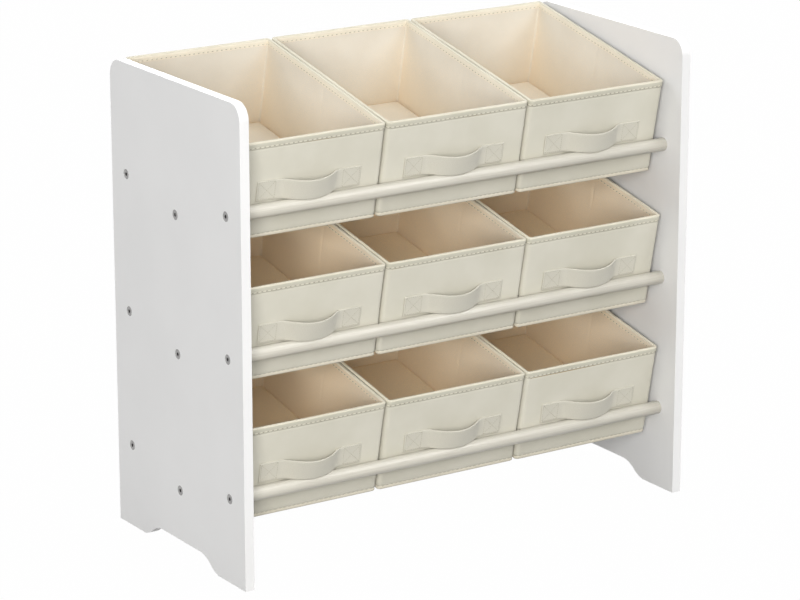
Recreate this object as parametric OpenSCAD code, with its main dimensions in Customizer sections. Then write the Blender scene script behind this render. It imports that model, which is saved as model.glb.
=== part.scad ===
// Nursery storage rack: two side panels, nine dowel rails in three tiers,
// and nine fabric bins that lean forward on the rails.
// Width is along X, the front faces -Y, and the feet stand on Z = 0.

/* [Frame] */
// Width over both side panels
overall_w = 625; // [500:5:760]
// Thickness of a side panel
panel_t = 12; // [10:1:18]
// Height of a side panel above the top front rail
panel_above = 133.5; // [115:0.5:170]
// Radius of the two upper corners of a side panel
panel_corner_r = 20; // [8:1:30]
// Distance from a panel's edge to where the curve beside a foot begins
foot_len = 54; // [40:1:70]
// Length of the double curve that joins a foot to the arch
ogee_run = 50; // [36:1:60]
// Height of the arch between the two feet
arch_h = 17; // [10:1:24]

/* [Rails] */
// Diameter of a dowel rail
rail_d = 16; // [15:0.5:20]
// Distance from a panel's front or rear edge to the nearest rail
rail_inset = 33.5; // [28:0.5:45]
// Distance from one rail of a tier to the next, front to back
rail_step = 114; // [95:1:130]
// How far the middle rail of a tier lies below the other two
rail_drop = 23.5; // [18:0.5:30]
// Height of the lowest front rail
first_rail_z = 102.5; // [90:0.5:130]
// Height from one tier to the next
tier_pitch = 167; // [150:1:200]

/* [Fasteners] */
// Diameter of a screw's shank
screw_d = 6; // [5:0.5:6.5]
// Length of a screw with its head
screw_len = 40; // [34:1:50]
// Diameter of a screw's countersunk head
head_d = 12; // [10:0.5:13]
// Width across the flats of a screw's hexagon socket
socket_af = 4; // [3:0.5:4]
// Depth of a screw's hexagon socket
socket_depth = 2.4; // [1.5:0.1:2.6]
// Outer diameter of the threaded insert in a rail's end
insert_d = 9; // [8:0.5:10]
// Length of the threaded insert
insert_len = 15; // [10:1:18]

/* [Bins] */
// Gap between neighbouring bins, rim to rim
bin_gap = 1.5; // [1:0.1:4]
// Room left between a row of bins and each side panel
side_play = 4; // [3.5:0.1:8]
// How far the rows of bins sit off centre
row_shift = -3; // [-3:0.5:3]
// Room for a bin to be tipped level under the tier above
lift_room = 4.4; // [3:0.1:20]
// Length of bin behind the rail it rests on at the rear
bin_overhang = 47; // [20:1:60]
// Radius of a bin's upright corners
bin_corner_r = 5; // [4.5:0.5:10]
// Thickness of a bin's fabric
skin_t = 0.8; // [0.6:0.1:1]
// Thickness of the stiffening card in a bin's walls
card_t = 1.2; // [1:0.1:1.5]
// Thickness of the padded board that lies in a bin
board_t = 10.4; // [6:0.2:14]
// Thickness of the folded tape round a bin's rim
tape_t = 0.6; // [0.4:0.1:0.8]
// Height of the folded tape
tape_h = 8; // [6:0.5:12]
// Width of the break between the two cards of a side wall
fold_gap = 6; // [4:1:12]

/* [Handles] */
// Length of a handle over its two sewn patches
handle_len = 138; // [110:1:160]
// Length of one sewn patch
patch_len = 24; // [18:1:28]
// Width of the webbing
strap_w = 24.5; // [20:0.5:32]
// Thickness of the webbing
strap_t = 1.5; // [1:0.1:2]
// How far the loop stands away from the bin
loop_bow = 14; // [11:1:18]
// Radius of the bend where the loop leaves a patch
loop_bend_r = 20; // [12:1:24]

/* [Hidden] */

TIERS = ["bottom", "middle", "top"];
COLUMNS = ["left", "centre", "right"];
RAIL_ROWS = ["front", "middle", "rear"];

// Clearances of the fits
rest_gap = 0.3;      // bin to rail
thread_gap = 0.05;   // screw to insert
shank_gap = 0.25;    // screw to panel and to rail
head_gap = 0.1;      // screw head to its countersink
card_gap = 0.1;      // card to each side of its pocket
board_gap = 1;       // base board to each wall of a bin
handle_gap = 0.5;    // handle to the rail below it
head_sink = 0.2;     // screw head below the panel's face
end_room = 3;        // hole in a rail beyond the screw's tip
cut = 1;             // how far a cutter runs past the face it cuts
ogee_dip = 0.6;      // start of a foot's curve below the floor
corner_slack = 0.5;  // how much rounder a bin's corners are inside than an even wall needs
pocket_margin = 1;   // end of a card's pocket to the start of a rounded corner

// The tilt of a bin follows from the three rails that carry it
rail_r = rail_d / 2;
tilt = atan(rail_drop / rail_step);
seat = rail_r + rest_gap;
// Distance from a bin's bottom up its front wall to the front rail
rail_up_wall = rail_step * sin(tilt) + rail_drop * cos(tilt) - seat;
// Place of a bin's lower front edge, measured from the front rail
bin_dy = seat * cos(tilt) + rail_up_wall * sin(tilt);
bin_dz = seat * sin(tilt) - rail_up_wall * cos(tilt);

// Bin sizes, from the rails and the tiers that they fit
inner_w = overall_w - 2 * panel_t;
column_w = (inner_w - 2 * side_play - (len(COLUMNS) - 1) * bin_gap) / len(COLUMNS);
column_pitch = column_w + bin_gap;
bin_w = column_w - 2 * tape_t;
bin_len = 2 * rail_step * cos(tilt) - seat + bin_overhang;
bin_h = tier_pitch + bin_dz - seat - lift_room;
pocket_t = card_t + 2 * card_gap;
wall_t = 2 * skin_t + pocket_t;
floor_t = 2 * skin_t;
shell_h = bin_h - tape_t;
inside_r = bin_corner_r - wall_t + corner_slack;
pocket_end = bin_corner_r + pocket_margin;   // pocket stops this far from a wall's end

// A handle's loop: two bends and the bow between them, at one angle
free_half = handle_len / 2 - patch_len;
loop_angle = 2 * atan(loop_bow / free_half);
bow_r = free_half / sin(loop_angle) - loop_bend_r;

// Panel sizes, from the rails that they carry
panel_d = 2 * (rail_inset + rail_step);
panel_h = first_rail_z + (len(TIERS) - 1) * tier_pitch + panel_above;

// The origin is under the middle of the rack with its bins
depth = max(panel_d, rail_inset + bin_dy + bin_len * cos(tilt));
front_y = -depth / 2;

$fn = 64;
arc_steps = 12;      // straight steps in each arc of an outline worked out by points

function tier_z(t) = first_rail_z + t * tier_pitch;
function column_x(c) = row_shift + (c - (len(COLUMNS) - 1) / 2) * column_pitch;
function rail_y(r) = front_y + rail_inset + r * rail_step;
function rail_z(r, t) = tier_z(t) - (r == 1 ? rail_drop : 0);

// The points of an outline, mirrored from left to right, or in reverse order
function flipped(points) = [for (p = points) [-p.x, p.y]];
function reversed(points) = [for (i = [len(points) - 1 : -1 : 0]) points[i]];

// Side panels

// Two arcs of one radius give the double curve from a foot up to the arch.
// Its lowest point lies just under the floor, so the sole ends at an edge.
function foot_curve() =
    let (rise = arch_h + ogee_dip, turn = 2 * atan(rise / ogee_run),
         ogee_r = ogee_run / (2 * sin(turn)))
    concat(
        [for (i = [0 : arc_steps]) let (a = turn * i / arc_steps)
            [foot_len + ogee_r * sin(a), ogee_r * (1 - cos(a)) - ogee_dip]],
        [for (i = [arc_steps - 1 : -1 : 0]) let (a = turn * i / arc_steps)
            [foot_len + ogee_run - ogee_r * sin(a), arch_h - ogee_r * (1 - cos(a))]]
    );

module panel_outline() {
    difference() {
        union() {
            square([panel_d, panel_h - panel_corner_r]);
            translate([panel_corner_r, 0]) square([panel_d - 2 * panel_corner_r, panel_h]);
            for (y = [panel_corner_r, panel_d - panel_corner_r])
                translate([y, panel_h - panel_corner_r]) circle(r = panel_corner_r);
        }
        polygon(concat(foot_curve(),
            [for (p = reversed(foot_curve())) [panel_d - p.x, p.y]]));
    }
}

// A through hole with its countersink, along +X, with its mouth at x = 0
module screw_hole() {
    head_r = head_d / 2 + head_gap;
    shank_r = screw_d / 2 + shank_gap;
    rotate([0, 90, 0]) {
        translate([0, 0, -cut]) cylinder(r = shank_r, h = panel_t + 2 * cut);
        translate([0, 0, -cut]) cylinder(r = head_r, h = head_sink + cut);
        translate([0, 0, head_sink]) cylinder(r1 = head_r, r2 = shank_r, h = head_r - shank_r);
    }
}

// The left panel, with its outer face at x = 0 and its front edge at y = 0
module panel() {
    difference() {
        rotate([90, 0, 90]) linear_extrude(panel_t) panel_outline();
        for (t = [0 : len(TIERS) - 1], r = [0 : len(RAIL_ROWS) - 1])
            translate([0, rail_inset + r * rail_step, rail_z(r, t)]) screw_hole();
    }
}

module left_panel() {
    color("#f3f2ee") translate([-overall_w / 2, front_y, 0]) panel();
}

module right_panel() {
    color("#f3f2ee") mirror([1, 0, 0]) translate([-overall_w / 2, front_y, 0]) panel();
}

// Rails and their fasteners

module rail_end_bore() {
    depth_beyond = screw_len - panel_t + end_room;
    translate([0, 0, -cut]) cylinder(d = insert_d, h = insert_len + cut);
    cylinder(r = screw_d / 2 + shank_gap, h = depth_beyond);
}

module rail(r, t) {
    color("#e9e1d0") translate([0, rail_y(r), rail_z(r, t)]) rotate([0, 90, 0]) difference() {
        cylinder(d = rail_d, h = inner_w, center = true);
        translate([0, 0, -inner_w / 2]) rail_end_bore();
        translate([0, 0, inner_w / 2]) mirror([0, 0, 1]) rail_end_bore();
    }
}

// A countersunk screw along +Z, with the top of its head at z = 0
module screw() {
    head_h = (head_d - screw_d) / 2;
    difference() {
        union() {
            cylinder(d1 = head_d, d2 = screw_d, h = head_h);
            cylinder(d = screw_d, h = screw_len);
        }
        translate([0, 0, -cut])
            cylinder(d = socket_af / cos(30), h = socket_depth + cut, $fn = 6);
    }
}

module screws_left() {
    for (t = [0 : len(TIERS) - 1], r = [0 : len(RAIL_ROWS) - 1])
        translate([-overall_w / 2 + head_sink, rail_y(r), rail_z(r, t)])
            rotate([0, 90, 0]) screw();
}

module left_screws() {
    color("#b9bbbe") screws_left();
}

module right_screws() {
    color("#b9bbbe") mirror([1, 0, 0]) screws_left();
}

// One threaded sleeve in each end of each rail
module rail_inserts() {
    color("#c9a95f")
        for (t = [0 : len(TIERS) - 1], r = [0 : len(RAIL_ROWS) - 1], side = [0, 1])
            mirror([side, 0, 0]) translate([-inner_w / 2, rail_y(r), rail_z(r, t)])
                rotate([0, 90, 0]) difference() {
                    cylinder(d = insert_d, h = insert_len);
                    translate([0, 0, -cut])
                        cylinder(r = screw_d / 2 + thread_gap, h = insert_len + 2 * cut);
                }
}

// Bins, each drawn level with its lower front edge along X at the origin

// Sets a level bin down on the rails of tier t, in column c
module in_rack(t, c) {
    translate([column_x(c), rail_y(0) + bin_dy, tier_z(t) + bin_dz])
        rotate([tilt, 0, 0]) children();
}

// A rounded rectangle, centred on X, inset by the same amount all round
module bin_plan(inset, r) {
    w = bin_w - 2 * inset;
    l = bin_len - 2 * inset;
    translate([-w / 2, inset]) {
        translate([r, 0]) square([w - 2 * r, l]);
        translate([0, r]) square([w, l - 2 * r]);
        for (x = [r, w - r], y = [r, l - r]) translate([x, y]) circle(r = r, $fn = 40);
    }
}

// Places what fills a wall: one piece at the front and rear, two at each side
module in_walls(end_gap, side_gap) {
    front_w = bin_w - 2 * (pocket_end + end_gap);
    side_l = bin_len / 2 - fold_gap / 2 - pocket_end - 2 * end_gap;
    thick = pocket_t - 2 * side_gap;
    inset = skin_t + side_gap;
    for (y = [inset, bin_len - inset - thick])
        translate([-front_w / 2, y]) square([front_w, thick]);
    for (x = [-bin_w / 2 + inset, bin_w / 2 - inset - thick],
         y = [pocket_end + end_gap, bin_len / 2 + fold_gap / 2 + end_gap])
        translate([x, y]) square([thick, side_l]);
}

// Sewn fabric: an outer and an inner skin, with pockets for the cards between
module bin_shell(t, c) {
    color("#d6d3c6") in_rack(t, c) difference() {
        linear_extrude(shell_h) bin_plan(0, bin_corner_r);
        translate([0, 0, floor_t]) linear_extrude(bin_h) bin_plan(wall_t, inside_r);
        translate([0, 0, floor_t]) linear_extrude(bin_h) in_walls(0, 0);
    }
}

// Stiffening cards: a side wall has two, so that the empty bin folds flat
module wall_cards(t, c) {
    color("#b39b78") in_rack(t, c) translate([0, 0, floor_t])
        linear_extrude(shell_h - floor_t - card_gap) in_walls(card_gap, card_gap);
}

// Tape folded over the rim, so it lies outside, on top of and inside the wall
module rim_tape(t, c) {
    color("#cdc9ba") in_rack(t, c) difference() {
        translate([0, 0, bin_h - tape_h]) linear_extrude(tape_h)
            bin_plan(-tape_t, bin_corner_r + tape_t);
        translate([0, 0, bin_h - tape_h - cut]) linear_extrude(tape_h + 2 * cut)
            bin_plan(wall_t + tape_t, inside_r - tape_t);
        difference() {
            translate([0, 0, bin_h - tape_h - cut]) linear_extrude(tape_h - tape_t + cut)
                bin_plan(0, bin_corner_r);
            translate([0, 0, bin_h - tape_h - 2 * cut]) linear_extrude(tape_h + 3 * cut)
                bin_plan(wall_t, inside_r);
        }
    }
}

// Loose padded board that covers the floor
module base_board(t, c) {
    color("#c6bfae") in_rack(t, c) translate([0, 0, floor_t])
        linear_extrude(board_t) bin_plan(wall_t + board_gap, inside_r);
}

// One face of a handle's right half: a flat patch, a bend away from the bin,
// then the bow. k is how far the face lies outside the middle of the webbing.
function half_face(k) = concat(
    [[handle_len / 2, -k]],
    [for (i = [0 : arc_steps]) let (a = loop_angle * i / arc_steps)
        [free_half - (loop_bend_r - k) * sin(a), (loop_bend_r - k) * cos(a) - loop_bend_r]],
    [for (i = [arc_steps - 1 : -1 : 1]) let (a = loop_angle * i / arc_steps)
        [(bow_r + k) * sin(a), bow_r - loop_bow - (bow_r + k) * cos(a)]]
);

function whole_face(k) = concat(
    half_face(k), [[0, -loop_bow - k]], reversed(flipped(half_face(k)))
);

// Webbing loop with a flat patch at each end, sewn to the front wall
module handle(t, c) {
    color("#d2cfc1") in_rack(t, c)
        translate([0, -strap_t / 2, rail_up_wall + rail_r + handle_gap])
            linear_extrude(strap_w)
                polygon(concat(whole_face(strap_t / 2), flipped(whole_face(-strap_t / 2))));
}

left_panel();
right_panel();
for (t = [0 : len(TIERS) - 1], r = [0 : len(RAIL_ROWS) - 1])
    rail(r, t);
left_screws();
right_screws();
rail_inserts();
for (t = [0 : len(TIERS) - 1], c = [0 : len(COLUMNS) - 1]) {
    place = str(TIERS[t], "_", COLUMNS[c]);
    bin_shell(t, c);
    rim_tape(t, c);
    wall_cards(t, c);
    base_board(t, c);
    handle(t, c);
}
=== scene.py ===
import bpy
import math
import random
from mathutils import Matrix, Vector, noise


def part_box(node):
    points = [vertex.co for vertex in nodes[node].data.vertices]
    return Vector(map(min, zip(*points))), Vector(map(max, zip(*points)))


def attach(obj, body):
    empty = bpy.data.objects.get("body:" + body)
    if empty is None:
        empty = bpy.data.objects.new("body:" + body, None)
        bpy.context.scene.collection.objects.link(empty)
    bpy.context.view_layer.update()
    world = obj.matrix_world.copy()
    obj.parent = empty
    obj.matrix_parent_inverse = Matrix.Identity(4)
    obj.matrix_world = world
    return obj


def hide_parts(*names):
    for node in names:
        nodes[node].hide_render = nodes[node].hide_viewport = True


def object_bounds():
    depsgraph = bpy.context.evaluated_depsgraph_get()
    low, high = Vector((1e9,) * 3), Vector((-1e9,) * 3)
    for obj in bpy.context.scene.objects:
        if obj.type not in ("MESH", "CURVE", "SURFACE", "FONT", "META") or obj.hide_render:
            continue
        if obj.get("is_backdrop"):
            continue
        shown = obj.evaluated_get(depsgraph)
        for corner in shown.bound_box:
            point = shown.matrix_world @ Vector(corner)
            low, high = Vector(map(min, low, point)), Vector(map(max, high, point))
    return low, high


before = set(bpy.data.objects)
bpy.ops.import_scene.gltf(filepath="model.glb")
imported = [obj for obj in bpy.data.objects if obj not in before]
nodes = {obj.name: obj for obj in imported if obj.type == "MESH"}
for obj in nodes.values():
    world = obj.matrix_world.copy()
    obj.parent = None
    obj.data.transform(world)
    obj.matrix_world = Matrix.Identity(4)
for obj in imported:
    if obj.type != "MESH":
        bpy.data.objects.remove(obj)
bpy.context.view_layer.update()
mm = 0.001
tiny = 0.01 * mm
levelFace = 0.9                # a face is level where its normal's z is past this
tiers = ("bottom", "middle", "top")
columns = ("left", "centre", "right")
railRows = ("front", "middle", "rear")
print("frame loaded,", len(nodes), "nodes")


# Small helpers for working by hand: select by place, then use an operator

def makeActive(piece):
    bpy.ops.object.select_all(action="DESELECT")
    piece.select_set(True)
    bpy.context.view_layer.objects.active = piece


def pick(piece, kind, wanted):
    makeActive(piece)
    bpy.ops.object.mode_set(mode="EDIT")
    bpy.ops.mesh.select_mode(type=kind)
    bpy.ops.mesh.select_all(action="DESELECT")
    bpy.ops.object.mode_set(mode="OBJECT")
    for item in {"EDGE": piece.data.edges, "FACE": piece.data.polygons}[kind]:
        item.select = wanted(item)
    bpy.ops.object.mode_set(mode="EDIT")


def pickEdges(piece, wanted):
    spots = piece.data.vertices
    pick(piece, "EDGE", lambda edge: wanted(*(spots[i].co for i in edge.vertices)))


def pickFaces(piece, wanted):
    pick(piece, "FACE", lambda face: wanted(face.center, face.normal))


def leaveEdit():
    bpy.ops.object.mode_set(mode="OBJECT")


def addPiece(name, data):
    piece = bpy.data.objects.new(name, data)
    bpy.context.collection.objects.link(piece)
    return piece


def settle(piece):
    # moves the object's place, turn and size into its mesh
    makeActive(piece)
    bpy.ops.object.transform_apply(location=True, rotation=True, scale=True)


def addBox(middle, size):
    bpy.ops.object.select_all(action="DESELECT")
    bpy.ops.mesh.primitive_cube_add(size=1, location=middle, scale=size)
    box = bpy.context.object
    settle(box)
    return box


def addCylinder(sides, radius, length, **placing):
    bpy.ops.object.select_all(action="DESELECT")
    bpy.ops.mesh.primitive_cylinder_add(vertices=sides, radius=radius, depth=length, **placing)
    cylinder = bpy.context.object
    settle(cylinder)
    return cylinder


def roundEdges(piece, wanted, width, steps):
    pickEdges(piece, wanted)
    bpy.ops.mesh.bevel(offset=width, segments=steps)
    leaveEdit()


def bevelSharp(piece, name, width, steps, degrees):
    edges = piece.modifiers.new(name, "BEVEL")
    edges.width = width
    edges.segments = steps
    edges.limit_method = "ANGLE"
    edges.angle_limit = math.radians(degrees)


def applyAll(piece):
    makeActive(piece)
    for modifier in list(piece.modifiers):
        bpy.ops.object.modifier_apply(modifier=modifier.name)


def smooth(piece, degrees):
    makeActive(piece)
    bpy.ops.object.shade_smooth_by_angle(angle=math.radians(degrees))


def cutAcross(piece, axis, places):
    # a bisect through the whole piece at each place along one axis
    makeActive(piece)
    bpy.ops.object.mode_set(mode="EDIT")
    for place in places:
        bpy.ops.mesh.select_all(action="SELECT")
        spot = [0, 0, 0]
        facing = [0, 0, 0]
        spot[axis] = place
        facing[axis] = 1
        bpy.ops.mesh.bisect(plane_co=spot, plane_no=facing)
    leaveEdit()


def evenly(low, high, step):
    count = max(1, math.ceil((high - low) / step))
    return [low + (high - low) * i / count for i in range(count + 1)]


def unwrapInMetres(piece):
    makeActive(piece)
    bpy.ops.object.mode_set(mode="EDIT")
    bpy.ops.mesh.select_all(action="SELECT")
    bpy.ops.uv.cube_project(cube_size=1, correct_aspect=False)
    leaveEdit()


def copiesOf(model, matrices, name):
    # one piece that holds a copy of the model at each matrix
    spots = [v.co.copy() for v in model.data.vertices]
    faces = [tuple(p.vertices) for p in model.data.polygons]
    allSpots = []
    allFaces = []
    for matrix in matrices:
        start = len(allSpots)
        allSpots += [matrix @ spot for spot in spots]
        allFaces += [tuple(start + i for i in face) for face in faces]
    mesh = bpy.data.meshes.new(name)
    mesh.from_pydata(allSpots, [], allFaces)
    mesh.polygons.foreach_set("use_smooth", [True] * len(allFaces))
    return addPiece(name, mesh)


def paint(piece, *materials):
    piece.data.materials.clear()
    for material in materials:
        piece.data.materials.append(material)


def refinish(node, material):
    # a CAD node that stays as it is gets a better material
    for holder in nodes[node].material_slots:
        holder.material = material


def fadeIn(value, start, end):
    share = min(1, max(0, (value - start) / (end - start)))
    return share * share * (3 - 2 * share)


def bump(value, middle, width):
    return math.exp(-((value - middle) / width) ** 2)


def railCentre(row, tier):
    low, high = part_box(row + "_rail_" + tier)
    return (low + high) / 2


# Materials

def srgb(colour):
    def linear(value):
        value /= 255
        return value / 12.92 if value <= 0.04045 else ((value + 0.055) / 1.055) ** 2.4
    return tuple(linear(value) for value in colour) + (1,)


def newMaterial(name, look):
    material = bpy.data.materials.new(name)
    material.use_nodes = True
    tree = material.node_tree
    shader = tree.nodes["Principled BSDF"]
    shader.inputs["Roughness"].default_value = look["roughness"]
    shader.inputs["Metallic"].default_value = look.get("metallic", 0)
    shader.inputs["Specular IOR Level"].default_value = look.get("gloss", 0.5)
    shader.inputs["Sheen Weight"].default_value = look.get("sheen", 0)
    shader.inputs["Sheen Roughness"].default_value = look.get("sheenSpread", 0.5)
    return material, tree, shader


def addNode(tree, kind, inputs=None, **settings):
    made = tree.nodes.new(kind)
    for name, value in settings.items():
        setattr(made, name, value)
    for name, value in (inputs or {}).items():
        made.inputs[name].default_value = value
    return made


def coordinates(tree, output, scale, turn=0):
    source = addNode(tree, "ShaderNodeTexCoord")
    mapping = addNode(tree, "ShaderNodeMapping", {"Scale": scale, "Rotation": (0, 0, turn)})
    tree.links.new(source.outputs[output], mapping.inputs["Vector"])
    return mapping.outputs["Vector"]


def noiseAt(tree, vector, detail=3, roughness=0.5):
    made = addNode(tree, "ShaderNodeTexNoise",
                   {"Scale": 1, "Detail": detail, "Roughness": roughness})
    tree.links.new(vector, made.inputs["Vector"])
    return made.outputs["Fac"]


def shadeBetween(tree, factor, look):
    # the factor's middle values run from the look's dark shade to its light one
    ramp = addNode(tree, "ShaderNodeValToRGB")
    dark, light = ramp.color_ramp.elements
    dark.position = look.get("darkUpTo", 0.35)
    dark.color = srgb(look["dark"])
    light.position = look.get("lightFrom", 0.65)
    light.color = srgb(look["light"])
    tree.links.new(factor, ramp.inputs["Fac"])
    return ramp.outputs["Color"]


def multiply(tree, first, second):
    made = addNode(tree, "ShaderNodeMath", operation="MULTIPLY")
    for socket, value in zip(made.inputs, (first, second)):
        if isinstance(value, (int, float)):
            socket.default_value = value
        else:
            tree.links.new(value, socket)
    return made.outputs["Value"]


def raised(tree, height, depth, onto=None):
    made = addNode(tree, "ShaderNodeBump", {"Strength": 1, "Distance": depth})
    tree.links.new(height, made.inputs["Height"])
    if onto is not None:
        tree.links.new(onto, made.inputs["Normal"])
    return made.outputs["Normal"]


paintLook = {
    "light": (225, 225, 225),
    "dark": (222, 222, 222),
    "blotch": 0.12,            # metres between the faint blotches of the rolled paint
    "peel": 1.6 * mm,          # grain left by the roller
    "peelDepth": 0.012 * mm,
    "roughness": 0.42,
    "gloss": 0.35,
}


def paintMaterial(look):
    material, tree, shader = newMaterial("whitePaint", look)
    blotch = noiseAt(tree, coordinates(tree, "Object", (1 / look["blotch"],) * 3))
    tree.links.new(shadeBetween(tree, blotch, look), shader.inputs["Base Color"])
    peel = noiseAt(tree, coordinates(tree, "Object", (1 / look["peel"],) * 3), detail=2)
    tree.links.new(raised(tree, peel, look["peelDepth"]), shader.inputs["Normal"])
    return material


dowelLook = {
    "light": (193, 190, 179),
    "dark": (186, 182, 171),
    "darkUpTo": 0.4,
    "lightFrom": 0.6,
    "grain": 1.1 * mm,         # width of a grain line
    "grainLength": 55 * mm,
    "grainDepth": 0.03 * mm,
    "roughness": 0.36,
    "gloss": 0.6,
}


def dowelMaterial(look):
    material, tree, shader = newMaterial("sealedWood", look)
    across = 1 / look["grain"]
    grain = noiseAt(tree, coordinates(tree, "Object", (1 / look["grainLength"], across, across)))
    tree.links.new(shadeBetween(tree, grain, look), shader.inputs["Base Color"])
    tree.links.new(raised(tree, grain, look["grainDepth"]), shader.inputs["Normal"])
    return material


zincLook = {
    "light": (176, 175, 174),
    "dark": (122, 121, 120),
    "spot": 0.7 * mm,
    "spotDepth": 0.01 * mm,
    "roughness": 0.28,
    "metallic": 1,
}
brassLook = dict(zincLook, light=(214, 184, 120), dark=(176, 143, 84), roughness=0.35)
# a near-black copy of the metal for the inside of the socket: painted shade in the recess
socketShadeLook = {
    "light": (46, 46, 48),
    "dark": (18, 18, 20),
    "spot": 0.5 * mm,
    "spotDepth": 0.02 * mm,
    "roughness": 0.6,
    "metallic": 0.6,
}


def speckledMaterial(name, look):
    material, tree, shader = newMaterial(name, look)
    spots = noiseAt(tree, coordinates(tree, "Object", (1 / look["spot"],) * 3))
    tree.links.new(shadeBetween(tree, spots, look), shader.inputs["Base Color"])
    tree.links.new(raised(tree, spots, look["spotDepth"]), shader.inputs["Normal"])
    return material


clothLook = {
    "light": (204, 201, 188),
    "dark": (199, 196, 182),
    "blotch": 45 * mm,         # size of the soft blotches in the cloth
    "emboss": 1.5 * mm,        # pitch of the dots pressed into the cloth
    "embossTurn": 45,
    "embossDepth": 0.07 * mm,
    "fibre": 0.45 * mm,
    "fibreDepth": 0.06 * mm,
    "pucker": 8 * mm,          # width of the puckers that a seam draws up
    "puckerLength": 30 * mm,
    "puckerDepth": 0.35 * mm,
    "roughness": 0.88,
    "gloss": 0.2,
    "sheen": 0.12,
    "sheenSpread": 0.6,
}
# deep: a paler, warmer colour that the lining takes where little light reaches, painted light in
# the bins' closed-in places
liningLook = dict(clothLook, light=(215, 210, 199), dark=(211, 205, 193),
                  deep=(249, 227, 194), deepBelow=0.02, paintedLightNoneAbove=0.36,
                  reach=250 * mm, rays=6)
# the board's deep colour is painted light too, where little light reaches
boardLook = dict(liningLook, light=(222, 214, 198), dark=(218, 209, 192),
                 deep=(255, 231, 193), deepBelow=0.01, paintedLightNoneAbove=0.2, puckerDepth=0.1 * mm)
tapeLook = dict(clothLook, light=(195, 192, 177), dark=(189, 186, 170), emboss=0.9 * mm,
                puckerDepth=0.05 * mm)
# a lighter copy of the tape for its rolled top: painted light from above, with painted warm light
# where the top is closed in
tapeTopLitLook = dict(tapeLook, light=(208, 203, 186), dark=(202, 197, 179), deep=(255, 246, 226),
                   deepBelow=0.1, paintedLightNoneAbove=0.45, reach=250 * mm, rays=6)
# a lighter copy of the tape for its inside: painted light, with painted warm light where it is
# closed in
tapeInsideLitLook = dict(tapeTopLitLook, light=(226, 220, 205), dark=(220, 213, 197),
                      deep=(255, 238, 208), paintedLightNoneAbove=0.3)
# a darker copy of the tape: painted shadow under the tape's lower edge and painted shade at the
# needle holes
tapeShadowLook = dict(tapeLook, light=(156, 153, 138), dark=(146, 143, 129))
# a warmer copy of the cloth for the strip below the hem seam: painted light
hemLitLook = dict(clothLook, light=(207, 201, 185), dark=(201, 195, 178))


def clothMaterial(name, look):
    material, tree, shader = newMaterial(name, look)
    blotch = noiseAt(tree, coordinates(tree, "Object", (1 / look["blotch"],) * 3))
    shade = shadeBetween(tree, blotch, look)
    if "deep" in look:
        # painted light: where ambient occlusion finds a closed-in place, the colour goes over to
        # the look's deep colour, paler and warmer, standing in for light that has bounced about
        # and soaked through the cloth
        openness = addNode(tree, "ShaderNodeAmbientOcclusion", {"Distance": look["reach"]},
                           samples=look["rays"])
        paintedLightShare = addNode(tree, "ShaderNodeMapRange",
                       {"Value": 0, "From Min": look["deepBelow"], "From Max": look["paintedLightNoneAbove"]},
                       interpolation_type="SMOOTHSTEP")
        tree.links.new(openness.outputs["AO"], paintedLightShare.inputs["Value"])
        withPaintedLight = addNode(tree, "ShaderNodeMix", data_type="RGBA")
        tree.links.new(paintedLightShare.outputs["Result"], withPaintedLight.inputs[0])
        withPaintedLight.inputs[6].default_value = srgb(look["deep"])
        tree.links.new(shade, withPaintedLight.inputs[7])
        shade = withPaintedLight.outputs[2]
    tree.links.new(shade, shader.inputs["Base Color"])
    dots = addNode(tree, "ShaderNodeTexVoronoi", {"Scale": 1, "Randomness": 0})
    tree.links.new(coordinates(tree, "UV", (1 / look["emboss"],) * 3,
                               math.radians(look["embossTurn"])), dots.inputs["Vector"])
    fibre = noiseAt(tree, coordinates(tree, "UV", (1 / look["fibre"],) * 3), detail=2)
    creased = (1 / look["pucker"], 1 / look["puckerLength"], 1)
    drawn = noiseAt(tree, coordinates(tree, "UV", creased))
    nearSeam = addNode(tree, "ShaderNodeAttribute", attribute_name="nearSeam")
    surface = raised(tree, dots.outputs["Distance"], look["embossDepth"])
    surface = raised(tree, fibre, look["fibreDepth"], surface)
    surface = raised(tree, multiply(tree, drawn, nearSeam.outputs["Fac"]),
                     look["puckerDepth"], surface)
    tree.links.new(surface, shader.inputs["Normal"])
    return material


webbingLook = {
    "light": (195, 192, 180),
    "dark": (188, 185, 172),
    "darkUpTo": 0.3,
    "lightFrom": 0.6,
    "rib": 1.7 * mm,           # pitch of the ribs across the webbing
    "ribWobble": 0.6,
    "ribDepth": 0.03 * mm,
    "yarn": 0.6 * mm,
    "yarnStretch": 2.5,        # how much longer than wide a yarn's spots are
    "yarnDepth": 0.08 * mm,
    "roughness": 0.8,
    "gloss": 0.25,
    "sheen": 0.15,
    "sheenSpread": 0.6,
}


def webbingMaterial(look):
    material, tree, shader = newMaterial("webbing", look)
    # at scale 1 the wave texture has 20 / tau bands to a metre
    ribs = addNode(tree, "ShaderNodeTexWave",
                   {"Scale": math.tau / 20 / look["rib"], "Distortion": look["ribWobble"],
                    "Detail": 1}, bands_direction="X")
    tree.links.new(coordinates(tree, "UV", (1, 1, 1)), ribs.inputs["Vector"])
    along = 1 / look["yarn"] / look["yarnStretch"]
    yarn = noiseAt(tree, coordinates(tree, "UV", (along, 1 / look["yarn"], 1)))
    tree.links.new(shadeBetween(tree, yarn, look), shader.inputs["Base Color"])
    surface = raised(tree, ribs.outputs["Fac"], look["ribDepth"])
    tree.links.new(raised(tree, yarn, look["yarnDepth"], surface), shader.inputs["Normal"])
    return material


# the thread on the hem and the handles, darker than the cloth: painted shade along the sewn lines
shadedThreadLook = {
    "light": (176, 172, 156),
    "dark": (160, 156, 140),
    "spot": 0.35 * mm,
    "spotDepth": 0.05 * mm,
    "roughness": 0.6,
}
# a paler copy of the same thread for the rim's stitches: painted light on them
litThreadLook = dict(shadedThreadLook, light=(222, 218, 202), dark=(208, 204, 188))
cardLook = dict(shadedThreadLook, light=(186, 166, 134), dark=(166, 146, 114), spot=1.2 * mm,
                roughness=0.9)

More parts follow.
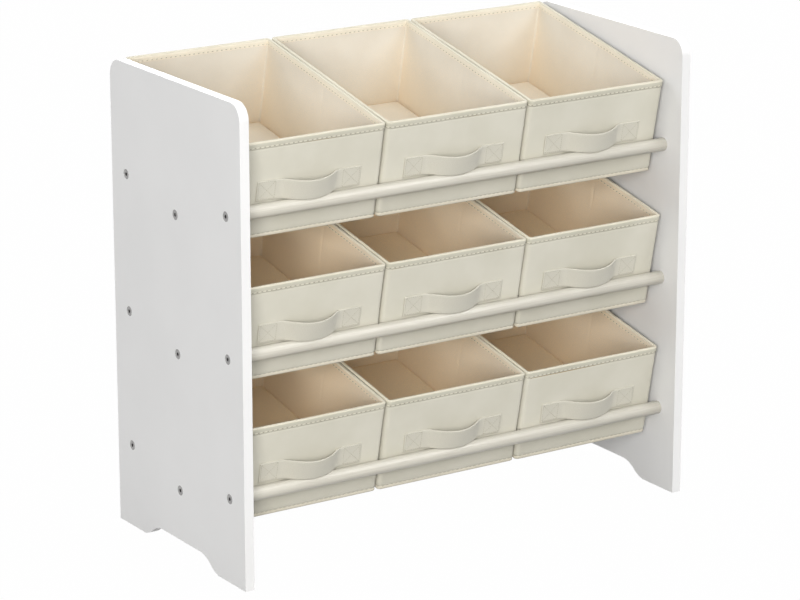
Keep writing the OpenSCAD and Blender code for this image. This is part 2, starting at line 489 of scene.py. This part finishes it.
whitePaint = paintMaterial(paintLook)
sealedWood = dowelMaterial(dowelLook)
zinc = speckledMaterial("zinc", zincLook)
brass = speckledMaterial("brass", brassLook)
shadedSocket = speckledMaterial("shadedSocket", socketShadeLook)
binCloth = clothMaterial("binCloth", clothLook)
binLining = clothMaterial("binLining", liningLook)
boardCloth = clothMaterial("boardCloth", boardLook)
rimCloth = clothMaterial("rimCloth", tapeLook)
rimTopLit = clothMaterial("rimTopLit", tapeTopLitLook)
rimInsideLit = clothMaterial("rimInsideLit", tapeInsideLitLook)
rimShadow = clothMaterial("rimShadow", tapeShadowLook)
hemLitCloth = clothMaterial("hemLitCloth", hemLitLook)
webbing = webbingMaterial(webbingLook)
thread = speckledMaterial("thread", shadedThreadLook)
litThread = speckledMaterial("litThread", litThreadLook)
card = speckledMaterial("card", cardLook)
print("materials made")


# Camera, light and floor

cameraView = {
    "place": (-2.2023, -3.3546, 1.4484),
    "lookDown": 16.505,        # in degrees, as is the turn
    "turn": -33.269,
    "lens": 156.47,
    "sensor": 36,
}
lamps = {                      # place, size in metres, watts, colour
    "softboxLeft": ((-2.99, -3.82, 1.49), 2.2, 204, (255, 253, 250)),
    "softboxFront": ((0, -3.21, 4.11), 2.2, 25, (252, 253, 255)),
    "softboxRight": ((2.2, -3.14, 3.5), 2.2, 90, (254, 254, 255)),
    "softboxRear": ((-3.14, 2.63, 3.15), 2.2, 53, (252, 253, 255)),
    "softboxAbove": ((0, -0.87, 5.2), 2.2, 62, (254, 254, 255)),
    "softboxBack": ((2.36, 3.63, 2.78), 2.2, 125, (254, 254, 255)),
}
surroundings = {"colour": (250, 252, 255), "strength": 0.24}
floorLook = {
    "size": 16,
    "colour": (136, 136, 135),
    "white": 0.992,            # share of plain white that the camera sees
    "roughness": 0.6,
    "gloss": 0.1,
}


def setCamera(view):
    data = bpy.data.cameras.new("camera")
    data.lens = view["lens"]
    data.sensor_width = view["sensor"]
    data.sensor_fit = "HORIZONTAL"
    camera = addPiece("camera", data)
    camera.location = view["place"]
    camera.rotation_euler = (math.radians(90 - view["lookDown"]), 0, math.radians(view["turn"]))
    bpy.context.scene.camera = camera


def setLamps(lamps, target):
    for name, (place, size, watts, colour) in lamps.items():
        data = bpy.data.lights.new(name, "AREA")
        data.size = size
        data.energy = watts
        data.color = srgb(colour)[:3]
        lamp = addPiece(name, data)
        lamp.location = place
        lamp.rotation_euler = (target - Vector(place)).to_track_quat("-Z", "Y").to_euler()


def seenAsWhite(tree):
    # 1 for camera, glossy and see-through rays, 0 for the light that reaches the object
    path = addNode(tree, "ShaderNodeLightPath")
    total = path.outputs["Is Camera Ray"]
    for output in ("Is Glossy Ray", "Is Transmission Ray"):
        added = addNode(tree, "ShaderNodeMath", operation="ADD", use_clamp=True)
        tree.links.new(total, added.inputs[0])
        tree.links.new(path.outputs[output], added.inputs[1])
        total = added.outputs["Value"]
    return total


def setWorld(look):
    world = bpy.data.worlds.new("studio")
    world.use_nodes = True
    bpy.context.scene.world = world
    tree = world.node_tree
    light = tree.nodes["Background"]
    light.inputs["Color"].default_value = srgb(look["colour"])
    light.inputs["Strength"].default_value = look["strength"]
    white = addNode(tree, "ShaderNodeBackground", {"Color": (1, 1, 1, 1), "Strength": 1})
    mix = addNode(tree, "ShaderNodeMixShader")
    tree.links.new(seenAsWhite(tree), mix.inputs["Fac"])
    tree.links.new(light.outputs["Background"], mix.inputs[1])
    tree.links.new(white.outputs["Background"], mix.inputs[2])
    tree.links.new(mix.outputs["Shader"], tree.nodes["World Output"].inputs["Surface"])


def layFloor(look):
    bpy.ops.object.select_all(action="DESELECT")
    bpy.ops.mesh.primitive_plane_add(size=look["size"])
    floor = bpy.context.object
    floor.name = "studio_floor"
    material, tree, shader = newMaterial("studioFloor", look)
    shader.inputs["Base Color"].default_value = srgb(look["colour"])
    white = addNode(tree, "ShaderNodeEmission", {"Color": (1, 1, 1, 1), "Strength": 1})
    mix = addNode(tree, "ShaderNodeMixShader")
    tree.links.new(multiply(tree, seenAsWhite(tree), look["white"]), mix.inputs["Fac"])
    tree.links.new(shader.outputs["BSDF"], mix.inputs[1])
    tree.links.new(white.outputs["Emission"], mix.inputs[2])
    tree.links.new(mix.outputs["Shader"], tree.nodes["Material Output"].inputs["Surface"])
    paint(floor, material)
    floor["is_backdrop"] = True


low, high = (Vector(corner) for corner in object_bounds())
setCamera(cameraView)
setLamps(lamps, (low + high) / 2)
setWorld(surroundings)
layFloor(floorLook)
bpy.context.scene.view_settings.view_transform = "Standard"
print("camera, light and floor set")


# Side panels: the real outline with its edges eased and painted

panelLook = {
    "edgeRound": 0.8 * mm,
    "edgeSteps": 3,
    "flatWithin": 2,           # in degrees: faces this close to one plane are one face
    "sharpOver": 40,           # an edge that turns by more degrees is eased
    "smoothUnder": 35,         # and one that turns by fewer is shaded smooth
}


def dressPanel(side, look):
    piece = addPiece(side + "_panel_painted", nodes[side + "_panel"].data.copy())
    makeActive(piece)
    bpy.ops.object.mode_set(mode="EDIT")
    bpy.ops.mesh.select_all(action="SELECT")
    bpy.ops.mesh.remove_doubles(threshold=tiny)
    bpy.ops.mesh.dissolve_limited(angle_limit=math.radians(look["flatWithin"]))
    leaveEdit()
    bevelSharp(piece, "edges", look["edgeRound"], look["edgeSteps"], look["sharpOver"])
    applyAll(piece)
    smooth(piece, look["smoothUnder"])
    flat = piece.modifiers.new("flat", "WEIGHTED_NORMAL")
    flat.keep_sharp = True
    applyAll(piece)
    paint(piece, whitePaint)
    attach(piece, "rack")
    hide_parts(side + "_panel")


for side in ("left", "right"):
    dressPanel(side, panelLook)
print("panels done")


# Dowel rails

railLook = {"sides": 72, "endRound": 0.5 * mm, "endSteps": 2, "smoothUnder": 30}
railLow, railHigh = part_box("front_rail_bottom")
railRadius = (railHigh.z - railLow.z) / 2
railLength = railHigh.x - railLow.x


def modelRail(look):
    rail = addCylinder(look["sides"], railRadius, railLength, rotation=(0, math.pi / 2, 0))
    roundEdges(rail, lambda a, b: abs(a.x - b.x) < tiny and (a - b).length < railRadius,
               look["endRound"], look["endSteps"])
    smooth(rail, look["smoothUnder"])
    paint(rail, sealedWood)
    return rail


railModel = modelRail(railLook)
for tier in tiers:
    for row in railRows:
        rail = addPiece("dowel_" + row + "_" + tier, railModel.data.copy())
        rail.data.transform(Matrix.Translation(railCentre(row, tier)))
        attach(rail, "rack")
        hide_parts(row + "_rail_" + tier)
bpy.data.objects.remove(railModel)
print("rails done")


# Screws: countersunk heads with a hexagon socket

screwLook = {
    "sides": 48,
    "headRadius": 6 * mm,
    "headEdge": 0.25 * mm,     # straight edge round the head
    "shankRadius": 3 * mm,
    "headHeight": 3 * mm,
    "length": 40 * mm,
    "socketSides": 6,
    "socketFlats": 4 * mm,
    "socketDepth": 2.4 * mm,
    "edgeSteps": 2,
    "smoothUnder": 30,
    "seed": 4,
}


def modelScrew(look):
    # along +Z, with the top of its head at z = 0 and the shank below
    screw = addCylinder(look["sides"], look["headRadius"], look["headEdge"],
                        location=(0, 0, -look["headEdge"] / 2))
    narrow = look["shankRadius"] / look["headRadius"]
    pickFaces(screw, lambda centre, normal: normal.z < -levelFace)
    bpy.ops.mesh.extrude_region_move(
        TRANSFORM_OT_translate={"value": (0, 0, look["headEdge"] - look["headHeight"])})
    bpy.ops.transform.resize(value=(narrow, narrow, 1), center_override=(0, 0, 0))
    bpy.ops.mesh.extrude_region_move(
        TRANSFORM_OT_translate={"value": (0, 0, look["headHeight"] - look["length"])})
    leaveEdit()
    roundEdges(screw, lambda a, b: max(a.z, b.z) > -tiny
               and min(a.xy.length, b.xy.length) > look["shankRadius"],
               look["headEdge"] / 2, look["edgeSteps"])
    socketRadius = look["socketFlats"] / math.sqrt(3)
    key = addCylinder(look["socketSides"], socketRadius, 2 * look["socketDepth"])
    hole = screw.modifiers.new("socket", "BOOLEAN")
    hole.object = key
    hole.solver = "EXACT"
    applyAll(screw)
    bpy.data.objects.remove(key)
    smooth(screw, look["smoothUnder"])
    paint(screw, zinc, shadedSocket)
    # faces inside the socket get the near-black socket material, painted shade
    for face in screw.data.polygons:
        belowTop = -2 * look["socketDepth"] < face.center.z < -tiny
        if face.center.xy.length < socketRadius + tiny and belowTop:
            face.material_index = 1
    return screw


def placeScrews(model, side, look):
    # one on the axis of each rail, each left at its own turn
    low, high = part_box(side + "_screws")
    spots = [railCentre(row, tier) for tier in tiers for row in railRows]
    headAt = low.x if side == "left" else high.x
    facing = -1 if side == "left" else 1
    rolls = random.Random(look["seed"] + facing)
    matrices = [Matrix.Translation((headAt, spot.y, spot.z))
                @ Matrix.Rotation(facing * math.pi / 2, 4, "Y")
                @ Matrix.Rotation(rolls.uniform(0, math.tau / look["socketSides"]), 4, "Z")
                for spot in spots]
    screws = copiesOf(model, matrices, side + "_socket_screws")
    finishes = [face.material_index for face in model.data.polygons]
    screws.data.polygons.foreach_set("material_index", finishes * len(matrices))
    paint(screws, zinc, shadedSocket)
    smooth(screws, look["smoothUnder"])
    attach(screws, "rack")
    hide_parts(side + "_screws")


screwModel = modelScrew(screwLook)
for side in ("left", "right"):
    placeScrews(screwModel, side, screwLook)
bpy.data.objects.remove(screwModel)
refinish("rail_inserts", brass)
print("screws done")


# Bins. Each piece is modelled level, with the bin's lower front edge along X at the
# origin, then leaned forward on the rails.

toMiddleRail = railCentre("middle", "top") - railCentre("front", "top")
lean = math.atan2(-toMiddleRail.z, toMiddleRail.y)
leaning = Matrix.Rotation(lean, 4, "X")


def levelBox(node):
    # lowest and highest corner of a node, seen with the bins' lean taken out
    level = leaning.inverted()
    spots = [level @ v.co for v in nodes[node].data.vertices]
    return (Vector(min(spot[i] for spot in spots) for i in range(3)),
            Vector(max(spot[i] for spot in spots) for i in range(3)))


def binOrigin(place):
    low, high = levelBox("bin_" + place)
    return Vector(((low.x + high.x) / 2, low.y, low.z))


firstPlace = tiers[0] + "_" + columns[0]
firstOrigin = binOrigin(firstPlace)


def fromOrigin(node):
    low, high = levelBox(node + "_" + firstPlace)
    return low - firstOrigin, high - firstOrigin


binSize = fromOrigin("bin")[1] - fromOrigin("bin")[0]
tapeLow, tapeHigh = fromOrigin("rim_tape")
boardLow, boardHigh = fromOrigin("base_board")
handleLow, handleHigh = fromOrigin("handle")
railOnBin = leaning.inverted() @ railCentre("front", tiers[0]) - firstOrigin
tapeThick = tapeHigh.x - binSize.x / 2

binLook = {
    "cornerRadius": 5 * mm,
    "cornerSteps": 6,
    "bottomRound": 1.4 * mm,
    "bottomSteps": 3,
    "wall": 3 * mm,
    "floor": 1.6 * mm,
    "cell": 4 * mm,            # size of the cloth's mesh
    "hemHeight": 4.4 * mm,     # seam round the foot of the bin
    "hemDepth": 0.8 * mm,
    "hemWidth": 0.8 * mm,
    "hemCuts": (-2, -1, -0.5, 0, 0.5, 1, 2),            # rows of the mesh, in widths
    "grooveDepth": 1.2 * mm,   # drawn in under the lower edge of the rim's tape
    "grooveWidth": 1.1 * mm,
    "grooveCuts": (3, 2, 1.4, 0.7, 0),
    "creaseDepth": 0.3 * mm,   # fold halfway along each side wall
    "creaseWidth": 1.6 * mm,
    "creaseCuts": (-2, -1, -0.5, 0, 0.5, 1, 2),
    "puckerReach": 9 * mm,
    "smoothUnder": 50,
    "wave": 85 * mm,           # distance between the soft waves of a wall
    "waveDepth": 0.9 * mm,
    "waveSeed": 7,             # without it the waves would differ from one run to the next
    "waveShift": (3.7, 1.3, 7.1),                       # gives each bin its own waves
    "stillBelow": 4 * mm,
    "fullWavesAbove": 40 * mm,
    "railReach": 16 * mm,      # the cloth is still this near to the front rail
    "seed": 11,
}


def modelBinCloth(look):
    shell = addBox((0, binSize.y / 2, binSize.z / 2), binSize)
    roundEdges(shell, lambda a, b: abs(a.z - b.z) > tiny,
               look["cornerRadius"], look["cornerSteps"])
    pickFaces(shell, lambda centre, normal: normal.z > levelFace)
    bpy.ops.mesh.inset(thickness=look["wall"])
    bpy.ops.mesh.extrude_region_move(
        TRANSFORM_OT_translate={"value": (0, 0, look["floor"] - binSize.z)})
    leaveEdit()
    roundEdges(shell, lambda a, b: max(a.z, b.z) < tiny,
               look["bottomRound"], look["bottomSteps"])
    halfStraight = binSize.x / 2 - look["cornerRadius"]
    cutAcross(shell, 0, evenly(-halfStraight, halfStraight, look["cell"])[1:-1])
    middle = binSize.y / 2
    crease = [middle + k * look["creaseWidth"] for k in look["creaseCuts"]]
    cutAcross(shell, 1, evenly(look["cornerRadius"], crease[0], look["cell"])[1:]
              + crease[1:-1]
              + evenly(crease[-1], binSize.y - look["cornerRadius"], look["cell"])[:-1])
    seam = [look["hemHeight"] + k * look["hemWidth"] for k in look["hemCuts"]]
    groove = [tapeLow.z - k * look["grooveWidth"] for k in look["grooveCuts"]]
    cutAcross(shell, 2, [2 * look["bottomRound"]] + seam
              + evenly(seam[-1], groove[0], look["cell"])[1:-1] + groove)
    return shell


def shapeSeams(shell, look):
    # presses the hem, the groove under the tape and the side walls' folds into the cloth,
    # and marks the cloth near a seam
    nearSeam = shell.data.attributes.new("nearSeam", "FLOAT", "POINT")
    half = binSize.x / 2
    middle = binSize.y / 2
    inner = half - look["wall"]
    for spot, mark in zip(shell.data.vertices, nearSeam.data):
        x, y, z = spot.co
        toTape = binSize.z - z
        mark.value = min(1, math.exp(-toTape / look["puckerReach"])
                         + math.exp(-z / look["puckerReach"]))
        if z > tiny:
            fold = look["creaseDepth"] * bump(y, middle, look["creaseWidth"])
            if abs(abs(x) - half) < tiny:
                spot.co.x -= math.copysign(fold, x)
            elif abs(abs(x) - inner) < tiny and z > look["floor"]:
                spot.co.x += math.copysign(fold, x)
        press = (look["hemDepth"] * bump(z, look["hemHeight"], look["hemWidth"])
                 + look["grooveDepth"] * bump(z, tapeLow.z, look["grooveWidth"]))
        if abs(abs(x) - half) < look["cornerRadius"] and abs(x) > inner + tiny:
            spot.co.x -= math.copysign(press, x)
        if y < look["wall"] - tiny:
            spot.co.y += press
        if y > binSize.y - look["wall"] + tiny:
            spot.co.y -= press


def finishBinCloth(shell, look):
    unwrapInMetres(shell)
    paint(shell, binCloth, binLining, hemLitCloth)
    middle = Vector((0, binSize.y / 2))
    for face in shell.data.polygons:
        facesIn = face.normal.xy.dot(face.center.xy - middle) < -tiny
        onFloor = face.normal.z > levelFace and face.center.z < binSize.z / 2
        if facesIn or onFloor:
            face.material_index = 1
        # the strip below the hem seam gets the warmer hem cloth, painted light
        elif look["floor"] / 4 < face.center.z < look["hemHeight"] - look["hemWidth"] / 2:
            face.material_index = 2
    smooth(shell, look["smoothUnder"])


tapeShape = {
    "pitch": 6.3 * mm,         # length of one stitch with its gap
    "stitchDown": 6.2 * mm,    # stitches below the top of the rim
    "samples": 6,              # mesh columns to each stitch
    "pull": 0.36 * mm,         # how far the thread pulls the tape in
    "slack": 0.35,             # share of the pull that is left between two needle holes
    "shadowRows": 2,             # rows of the mesh, from the lower edge: the edge rows, painted dark as shadow, the row with the needle holes, painted dark as shade between the stitches, and the first row of the rolled top, painted lighter as lit from above
    "shadedHoleRow": 3,              # the row with the needle holes,
    "litTopRow": 8,               # and the first row of the rolled top
    "smoothUnder": 60,
    "stitch": (4.2 * mm, 1 * mm, 0.75 * mm),
}


def rimPoint(distance, width, length, radius):
    # place and outward direction on a bin's rounded outline, from the middle of its rear
    def heading(turn):
        return Vector((math.cos(turn), math.sin(turn)))
    spot = Vector((0, length))
    turn = 0
    quarter = radius * math.pi / 2
    shortSide = width / 2 - radius
    longSide = length - 2 * radius
    for straight in (shortSide, longSide, 2 * shortSide, longSide, shortSide):
        outward = heading(turn + math.pi / 2)
        if distance <= straight:
            return spot + heading(turn) * distance, outward
        distance -= straight
        centre = spot + heading(turn) * straight - outward * radius
        if distance <= quarter:
            outward = heading(turn + math.pi / 2 - distance / radius)
            return centre + outward * radius, outward
        distance -= quarter
        spot = centre + heading(turn) * radius
        turn -= math.pi / 2
    return Vector((0, length)), Vector((0, 1))


def rimLength(width, length, radius):
    return 2 * (width + length) - 8 * radius + math.tau * radius


def tapeSection(look):
    # half of the folded tape, from its lower outer edge to the top of the fold:
    # out from the wall, down from the top, and how strongly the stitches pull it
    thick = tapeThick
    deep = tapeHigh.z - tapeLow.z
    sewn = look["stitchDown"]
    return [
        (0.2 * thick, deep, 0.3), (0.9 * thick, deep - 0.1 * mm, 0.5),
        (thick, deep - 0.5 * mm, 0.7), (thick, sewn + 0.9 * mm, 0.8),
        (0.9 * thick, sewn, 1), (thick, sewn - 0.9 * mm, 0.7),
        (1.05 * thick, sewn - 2 * mm, 0.2), (1.05 * thick, sewn - 3.2 * mm, 0),
        (0.95 * thick, 1.3 * mm, 0), (0.5 * thick, 0.6 * mm, 0),
        (-0.5 * thick, 0.15 * mm, 0), (-1.5 * thick, 0, 0),
    ]


def modelRimTape(look, cloth):
    width, length, radius = binSize.x, binSize.y, cloth["cornerRadius"]
    around = rimLength(width, length, radius)
    stitches = round(around / look["pitch"])
    columnsAround = stitches * look["samples"]
    outside = tapeSection(look)
    across = cloth["wall"]
    # over the fold, down inside the bin, and back up and down along both faces of its wall
    section = outside + [(-across - out, down, pull) for out, down, pull in reversed(outside)]
    section += [(-across, tapeHigh.z - tapeLow.z, 0), (-across, tapeThick, 0),
                (0, tapeThick, 0), (0, tapeHigh.z - tapeLow.z, 0)]
    bpy.ops.object.select_all(action="DESELECT")
    bpy.ops.mesh.primitive_grid_add(x_subdivisions=columnsAround, y_subdivisions=len(section),
                                    size=1)
    tape = bpy.context.object
    wide = len(section) + 1
    spots = tape.data.vertices
    order = sorted(range(len(spots)), key=lambda i: (round(spots[i].co.x, 6), spots[i].co.y))
    places = {}
    for rank, index in enumerate(order):
        column, row = divmod(rank, wide)
        row %= len(section)
        column %= columnsAround
        distance = around * column / columnsAround
        spot, outward = rimPoint(distance, width, length, radius)
        out, down, pull = section[row]
        taut = math.cos(math.pi * column / look["samples"]) ** 2
        pulled = pull * look["pull"] * (look["slack"] + (1 - look["slack"]) * taut)
        inward = -1 if row >= len(outside) else 1
        out -= inward * pulled
        places[index] = (spot.x + outward.x * out, spot.y + outward.y * out, tapeHigh.z - down)
    for index, place in places.items():
        spots[index].co = place
    runs = [0]
    for first, second in zip(section, section[1:] + section[:1]):
        runs.append(runs[-1] + math.dist(first[:2], second[:2]))
    ranks = {index: rank for rank, index in enumerate(order)}
    uv = tape.data.uv_layers.active.data
    for loop in tape.data.loops:
        column, row = divmod(ranks[loop.vertex_index], wide)
        uv[loop.index].uv = (around * column / columnsAround, runs[row])
    paint(tape, rimCloth, rimInsideLit, rimShadow, rimTopLit)
    last = len(outside) - 1         # the fold's top, with the same rows mirrored beyond it
    # painted shadow along the tape's lower edge and at the needle holes, painted light on the
    # rolled top and on the tape's inside
    for face in tape.data.polygons:
        column, row = divmod(min(ranks[i] for i in face.vertices), wide)
        fromEdge = min(row, 2 * last - row)
        shadedHole = (column + 1) % look["samples"] < 2
        if row < look["shadowRows"] or fromEdge == look["shadedHoleRow"] and shadedHole:
            face.material_index = 2
        elif fromEdge >= look["litTopRow"]:
            face.material_index = 3
        elif row > last:
            face.material_index = 1
    makeActive(tape)
    bpy.ops.object.mode_set(mode="EDIT")
    bpy.ops.mesh.select_all(action="SELECT")
    bpy.ops.mesh.remove_doubles(threshold=tiny)
    bpy.ops.mesh.normals_make_consistent(inside=False)
    leaveEdit()
    smooth(tape, look["smoothUnder"])
    return tape, stitches


stitchMesh = {"segments": 6, "ring_count": 5}


def modelStitch(size):
    # a plump grain of thread along X
    bpy.ops.object.select_all(action="DESELECT")
    bpy.ops.mesh.primitive_uv_sphere_add(radius=0.5, rotation=(0, math.pi / 2, 0), **stitchMesh)
    stitch = bpy.context.object
    settle(stitch)
    stitch.scale = size
    settle(stitch)
    return stitch


def facingOut(spot, along, outward):
    # a matrix that lays a stitch along a line on a face
    side = outward.cross(along)
    turn = Matrix((along, side, outward)).transposed().to_4x4()
    return Matrix.Translation(spot) @ turn


def seamAround(stitches, inset, height, cloth):
    width = binSize.x - 2 * inset
    length = binSize.y - 2 * inset
    radius = cloth["cornerRadius"] - inset
    around = rimLength(width, length, radius)
    matrices = []
    for i in range(stitches):
        spot, outward = rimPoint(around * (i + 0.5) / stitches, width, length, radius)
        facing = Vector((outward.x, outward.y, 0))
        along = Vector((outward.y, -outward.x, 0))
        matrices.append(facingOut(Vector((spot.x, spot.y + inset, height)), along, facing))
    return matrices


boardShape = {
    "cornerRadius": 4 * mm,
    "cornerSteps": 5,
    "edgeRound": 2.6 * mm,     # soft edge of the padding
    "edgeSteps": 5,
    "cell": 12 * mm,
    "crown": 0.3 * mm,
    "smoothUnder": 50,
    "fill": 1,                 # the padding is drawn tight over its board
}


def modelBoard(look):
    size = boardHigh - boardLow
    middle = (boardHigh + boardLow) / 2
    board = addBox(middle, size)
    roundEdges(board, lambda a, b: abs(a.z - b.z) > tiny,
               look["cornerRadius"], look["cornerSteps"])
    roundEdges(board, lambda a, b: abs(a.z - b.z) < tiny, look["edgeRound"], look["edgeSteps"])
    margin = look["cornerRadius"] + look["edgeRound"]
    cutAcross(board, 0, evenly(boardLow.x + margin, boardHigh.x - margin, look["cell"]))
    cutAcross(board, 1, evenly(boardLow.y + margin, boardHigh.y - margin, look["cell"]))
    for spot in board.data.vertices:
        if spot.co.z > middle.z:
            spot.co.z += look["crown"] * (1 - (2 * spot.co.x / size.x) ** 2)
    unwrapInMetres(board)
    smooth(board, look["smoothUnder"])
    paint(board, boardCloth)
    return board


handleLook = {
    "patch": 25.5 * mm,
    "bendRadius": 20 * mm,
    "thick": 1.5 * mm,
    "along": 1.5 * mm,         # mesh step along the webbing
    "across": 8,               # mesh strips across it
    "selvedge": 0.45 * mm,
    "selvedgeSteps": 2,
    "sharpOver": 60,
    "smoothUnder": 50,
    "upperBow": 1.14,          # share of the bow at the upper edge and at the lower one
    "lowerBow": 0.95,
    "sag": 1 * mm,
    "sagPower": 4,             # a higher power keeps the sag to the middle of the loop
    "boxInset": 1.7 * mm,      # sewn box to the edge of a patch
    "boxPitch": 2.7 * mm,
    "stitch": (2.2 * mm, 0.55 * mm, 0.4 * mm),
}


def strapLoop(look):
    # the loop seen from above: how far it bows out, half its width, and the turn of each bend
    bow = handleHigh.y - handleLow.y - look["thick"]
    free = (handleHigh.x - handleLow.x) / 2 - look["patch"]
    return bow, free, 2 * math.atan(bow / free)


def strapPoint(distance, look):
    # a place along the middle of the webbing, seen from above: its x, and how far out it is
    bow, free, turn = strapLoop(look)
    bend = look["bendRadius"]
    wide = free / math.sin(turn) - bend
    side = math.copysign(1, distance)
    run = abs(distance)
    bowRun = wide * turn
    bendRun = bend * turn
    if run <= bowRun:
        angle = run / wide
        return side * wide * math.sin(angle), bow - wide * (1 - math.cos(angle))
    if run <= bowRun + bendRun:
        angle = (bowRun + bendRun - run) / bend
        return side * (free - bend * math.sin(angle)), bend * (1 - math.cos(angle))
    return side * (free + run - bowRun - bendRun), 0


def strapHalfLength(look):
    bow, free, turn = strapLoop(look)
    return free / math.sin(turn) * turn + look["patch"]


def modelHandle(look):
    halfLength = strapHalfLength(look)
    bow = strapLoop(look)[0]
    steps = round(2 * halfLength / look["along"])
    tall = handleHigh.z - handleLow.z
    bpy.ops.object.select_all(action="DESELECT")
    bpy.ops.mesh.primitive_grid_add(x_subdivisions=steps, y_subdivisions=look["across"], size=1)
    strap = bpy.context.object
    uv = strap.data.uv_layers.active.data
    for loop in strap.data.loops:
        x, y, _ = strap.data.vertices[loop.vertex_index].co
        uv[loop.index].uv = (x * 2 * halfLength, y * tall)
    for spot in strap.data.vertices:
        x, out = strapPoint(spot.co.x * 2 * halfLength, look)
        height = (handleLow.z + handleHigh.z) / 2 + spot.co.y * tall
        height -= look["sag"] * (out / bow) ** look["sagPower"]
        out *= look["lowerBow"] + (look["upperBow"] - look["lowerBow"]) * (spot.co.y + 0.5)
        spot.co = (x, -out - look["thick"] / 2, height)
    layers = strap.modifiers.new("layers", "SOLIDIFY")
    layers.thickness = look["thick"]
    layers.offset = 0
    layers.use_even_offset = True
    bevelSharp(strap, "selvedge", look["selvedge"], look["selvedgeSteps"], look["sharpOver"])
    applyAll(strap)
    pickFaces(strap, lambda centre, normal: True)
    bpy.ops.mesh.normals_make_consistent(inside=False)
    leaveEdit()
    smooth(strap, look["smoothUnder"])
    paint(strap, webbing)
    return strap


def seamOnPatches(look):
    # a sewn square with a cross in it on each end of the handle
    matrices = []
    out = -look["thick"]
    facing = Vector((0, -1, 0))
    for side in (-1, 1):
        outer = side * (handleHigh.x - look["boxInset"])
        inner = side * (handleHigh.x - look["patch"] + look["boxInset"])
        top = handleHigh.z - look["boxInset"]
        foot = handleLow.z + look["boxInset"]
        corners = [(outer, foot), (outer, top), (inner, top), (inner, foot)]
        lines = [(corners[i], corners[(i + 1) % 4]) for i in range(4)]
        lines += [(corners[0], corners[2]), (corners[1], corners[3])]
        for start, end in lines:
            start = Vector((start[0], out, start[1]))
            end = Vector((end[0], out, end[1]))
            count = round((end - start).length / look["boxPitch"])
            for i in range(count):
                spot = start.lerp(end, (i + 0.5) / count)
                matrices.append(facingOut(spot, (end - start).normalized(), facing))
    return matrices


def wave(spot, seed, look):
    # soft waves that all pieces of one bin share, still where it rests on a rail
    offset = Vector([seed * shift for shift in look["waveShift"]])
    moved = noise.noise_vector(spot / look["wave"] + offset) * look["waveDepth"]
    free = fadeIn(spot.z, look["stillBelow"], look["fullWavesAbove"])
    inFront = spot.y < binSize.y / 4
    atRail = bump(spot.z, railOnBin.z, look["railReach"]) if inFront else 0
    return Vector((moved.x * free, moved.y * free * (1 - atRail), 0))


def placeOnRails(model, name, place, seed, replaced=()):
    # a copy of a level model goes to its place, waved and leaning on its rails
    piece = addPiece(name + "_" + place, model.data.copy())
    for spot in piece.data.vertices:
        spot.co += wave(spot.co, seed, binLook)
    piece.data.transform(leaning @ Matrix.Translation(binOrigin(place)))
    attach(piece, place + "_bin_body")
    for node in replaced:
        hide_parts(node + "_" + place)
    return piece


clothModel = modelBinCloth(binLook)
shapeSeams(clothModel, binLook)
finishBinCloth(clothModel, binLook)
print("bin cloth modelled,", len(clothModel.data.polygons), "faces")
tapeModel, stitchCount = modelRimTape(tapeShape, binLook)
print("rim tape modelled,", len(tapeModel.data.polygons), "faces")
boardModel = modelBoard(boardShape)
handleModel = modelHandle(handleLook)

rimStitch = modelStitch(tapeShape["stitch"])
sewnAt = tapeHigh.z - tapeShape["stitchDown"]
outStitch = tapeThick - tapeShape["pull"]
rimSeams = (seamAround(stitchCount, -outStitch, sewnAt, binLook)
            + seamAround(stitchCount, binLook["wall"] + outStitch, sewnAt, binLook))
rimSeamModel = copiesOf(rimStitch, rimSeams, "rim_seam_model")
hemSeam = seamAround(stitchCount, binLook["hemDepth"], binLook["hemHeight"], binLook)
hemSeamModel = copiesOf(rimStitch, hemSeam, "hem_seam_model")
patchStitch = modelStitch(handleLook["stitch"])
patchSeamModel = copiesOf(patchStitch, seamOnPatches(handleLook), "patch_seam_model")
# the rim's stitches get the lit thread, the hem's and the handles' the shaded one: painted light
# and shade
paint(rimSeamModel, litThread)
paint(hemSeamModel, thread)
paint(patchSeamModel, thread)
print("handle and seams modelled")

noise.seed_set(binLook["waveSeed"])
seeds = random.Random(binLook["seed"])
for tier in tiers:
    for column in columns:
        place = tier + "_" + column
        seed = seeds.uniform(1, 30)
        placeOnRails(clothModel, "cloth_bin", place, seed, ["bin"])
        placeOnRails(tapeModel, "bound_rim", place, seed, ["rim_tape"])
        placeOnRails(rimSeamModel, "rim_stitching", place, seed)
        placeOnRails(hemSeamModel, "hem_stitching", place, seed)
        board = placeOnRails(boardModel, "covered_board", place, seed,
                             ["base_board"])
        placeOnRails(handleModel, "webbing_handle", place, seed, ["handle"])
        placeOnRails(patchSeamModel, "handle_stitching", place, seed)
        refinish("wall_cards_" + place, card)
for model in (clothModel, tapeModel, boardModel, handleModel, rimStitch, patchStitch,
              rimSeamModel, hemSeamModel, patchSeamModel):
    bpy.data.objects.remove(model)
print("bins placed")
